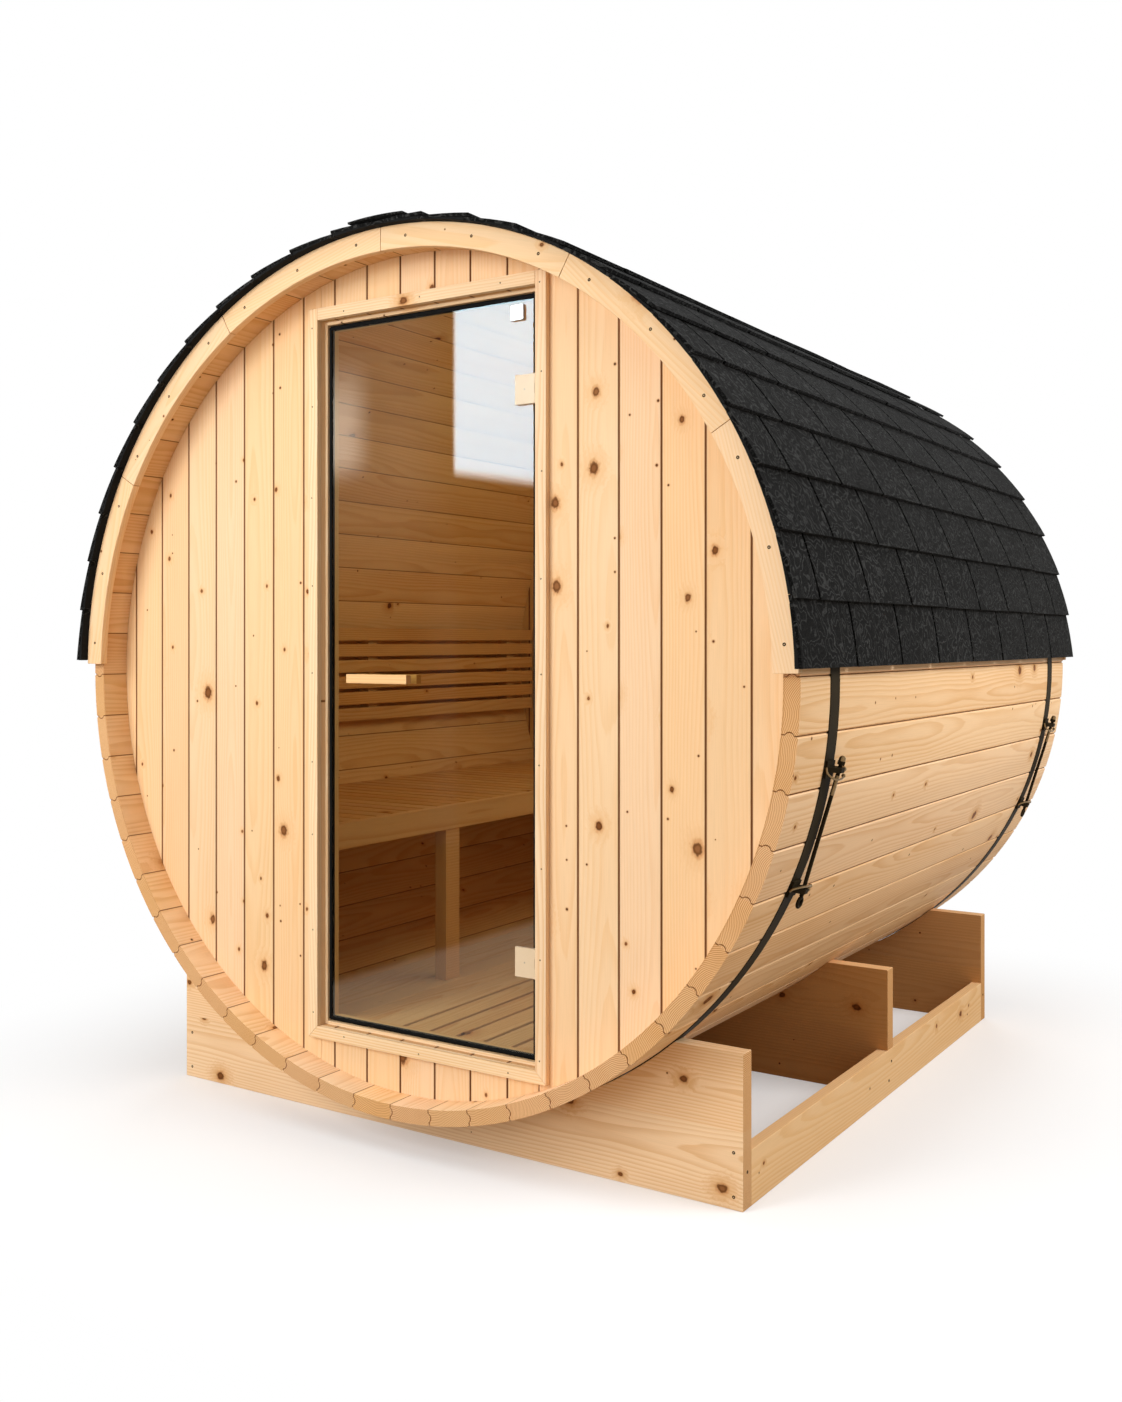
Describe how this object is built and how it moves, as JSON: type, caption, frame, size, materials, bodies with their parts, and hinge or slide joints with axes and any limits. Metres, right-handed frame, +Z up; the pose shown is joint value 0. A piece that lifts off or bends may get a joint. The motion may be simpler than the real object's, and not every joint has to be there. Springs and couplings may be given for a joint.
{
  "type": "barrel sauna",
  "caption": "Walk-in timber barrel sauna on low cradles, with a hinged glass door, slatted bench inside and a shingled half roof.",
  "frame": {"origin": "on the ground under the middle of the overall box", "axes": "+Z up, -Y out of the front with the door, +X to the right as seen from the front; the barrel's axis runs along Y"},
  "size_m": [1.9904, 2.08, 2.05],
  "materials": {
    "timber_base": "planed softwood boards with a clear finish",
    "timber_stave": "planed softwood staves with bead and cove edges",
    "band_steel": "dark bronze coated steel, satin",
    "timber_wall": "planed softwood boards with knots",
    "timber_frame": "planed softwood frame and casing",
    "seal_rubber": "black rubber, matte",
    "hinge_metal": "ivory coated metal, satin",
    "door_glass": "bronze tinted toughened glass, polished edges",
    "catch_metal": "bright plated metal",
    "timber_handle": "planed softwood bars",
    "timber_floor": "planed softwood boards",
    "timber_bench": "planed softwood slats, warm tone",
    "timber_fascia": "planed softwood curved boards",
    "underlay_felt": "black roofing felt",
    "shingle": "black mineral granule shingle, matte"
  },
  "bodies": {
    "barrel": {"cradle_front": "timber_base", "cradle_middle": "timber_base", "cradle_rear": "timber_base", "rail_left": "timber_base", "rail_right": "timber_base", "staves_bottom": "timber_stave", "staves_low_right": "timber_stave", "staves_right": "timber_stave", "staves_high_right": "timber_stave", "staves_top": "timber_stave", "staves_high_left": "timber_stave", "staves_left": "timber_stave", "staves_low_left": "timber_stave", "band_front": "band_steel", "band_rear": "band_steel", "tensioner_front": "band_steel", "tensioner_rear": "band_steel", "wall_left": "timber_wall", "wall_right": "timber_wall", "wall_over_door": "timber_wall", "wall_under_door": "timber_wall", "wall_rear": "timber_wall", "frame_jambs": "timber_frame", "frame_head_sill": "timber_frame", "casing_sides": "timber_frame", "casing_head_sill": "timber_frame", "door_seal": "seal_rubber", "hinge_leaves": "hinge_metal", "floor_boards": "timber_floor", "floor_bearers": "timber_floor", "bench_seat": "timber_bench", "bench_frame": "timber_bench", "backrest_slats": "timber_bench", "backrest_battens": "timber_bench", "fascia_front": "timber_fascia", "fascia_rear": "timber_fascia", "roof_underlay": "underlay_felt", "roof_right": "shingle", "roof_left": "shingle", "roof_ridge": "shingle"},
    "door": {"door_glass": "door_glass", "door_clamps": "hinge_metal", "door_catch": "catch_metal", "door_handle": "timber_handle"}
  },
  "joints": [
    {"name": "door_hinge", "type": "hinge", "parent": "barrel", "child": "door", "pos_m": [0.343, -0.922, 1.051], "axis": [0, 0, 1], "range_deg": [0, 95]}
  ]
}
